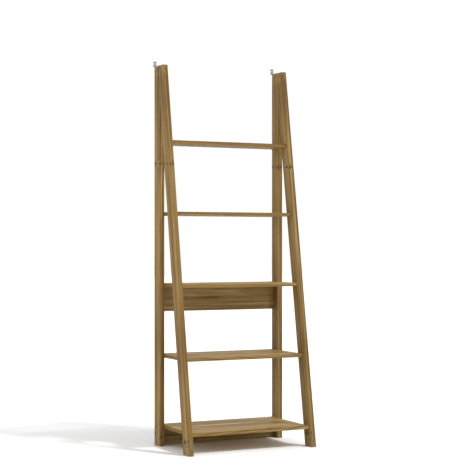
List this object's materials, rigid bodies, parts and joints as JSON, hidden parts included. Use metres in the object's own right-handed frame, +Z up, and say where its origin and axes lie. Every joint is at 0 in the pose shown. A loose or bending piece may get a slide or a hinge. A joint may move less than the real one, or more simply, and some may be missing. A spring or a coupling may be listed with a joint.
{
  "type": "ladder shelf",
  "caption": "Tall A-frame ladder shelf: raked front legs meet upright rear legs, with open shelves that deepen towards the floor, a back panel and wall brackets.",
  "frame": {"origin": "on the floor, at the centre of the box round the whole object", "axes": "+Z up, +X to the right of someone facing the shelves, +Y from the front towards the wall"},
  "size_m": [0.64, 0.4129, 1.7785],
  "materials": {
    "leg_oak": "matt lacquered oak, long straight grain",
    "shelf_oak": "matt oak, grain along the shelf",
    "panel_oak": "matt oak with knots, grain along the panel",
    "beech_dowel": "plain turned beech",
    "bracket_zinc": "bright zinc plate",
    "zinc_steel": "zinc-plated steel",
    "zinc_casting": "plain zinc casting"
  },
  "bodies": {
    "root": {"rear_leg_left": "leg_oak", "rear_leg_right": "leg_oak", "front_leg_left": "leg_oak", "front_leg_right": "leg_oak", "shelf_1_top": "shelf_oak", "shelf_2_upper": "shelf_oak", "shelf_3_middle": "shelf_oak", "shelf_4_lower": "shelf_oak", "shelf_5_bottom": "shelf_oak", "back_panel": "panel_oak", "lower_back_rail": "panel_oak", "shelf_1_cam_locks": "zinc_casting", "shelf_1_cam_bolts": "zinc_steel", "shelf_1_dowels": "beech_dowel", "shelf_2_cam_locks": "zinc_casting", "shelf_2_cam_bolts": "zinc_steel", "shelf_2_dowels": "beech_dowel", "shelf_3_cam_locks": "zinc_casting", "shelf_3_cam_bolts": "zinc_steel", "shelf_3_dowels": "beech_dowel", "shelf_4_cam_locks": "zinc_casting", "shelf_4_cam_bolts": "zinc_steel", "shelf_4_dowels": "beech_dowel", "shelf_5_cam_locks": "zinc_casting", "shelf_5_cam_bolts": "zinc_steel", "shelf_5_dowels": "beech_dowel", "panel_cam_locks": "zinc_casting", "panel_cam_bolts": "zinc_steel", "panel_dowels": "beech_dowel", "rail_cam_locks": "zinc_casting", "rail_cam_bolts": "zinc_steel", "rail_dowels": "beech_dowel", "frame_dowels_left": "beech_dowel", "wall_bracket_left": "bracket_zinc", "bracket_screws_left": "zinc_steel", "frame_dowels_right": "beech_dowel", "wall_bracket_right": "bracket_zinc", "bracket_screws_right": "zinc_steel"}
  },
  "joints": []
}
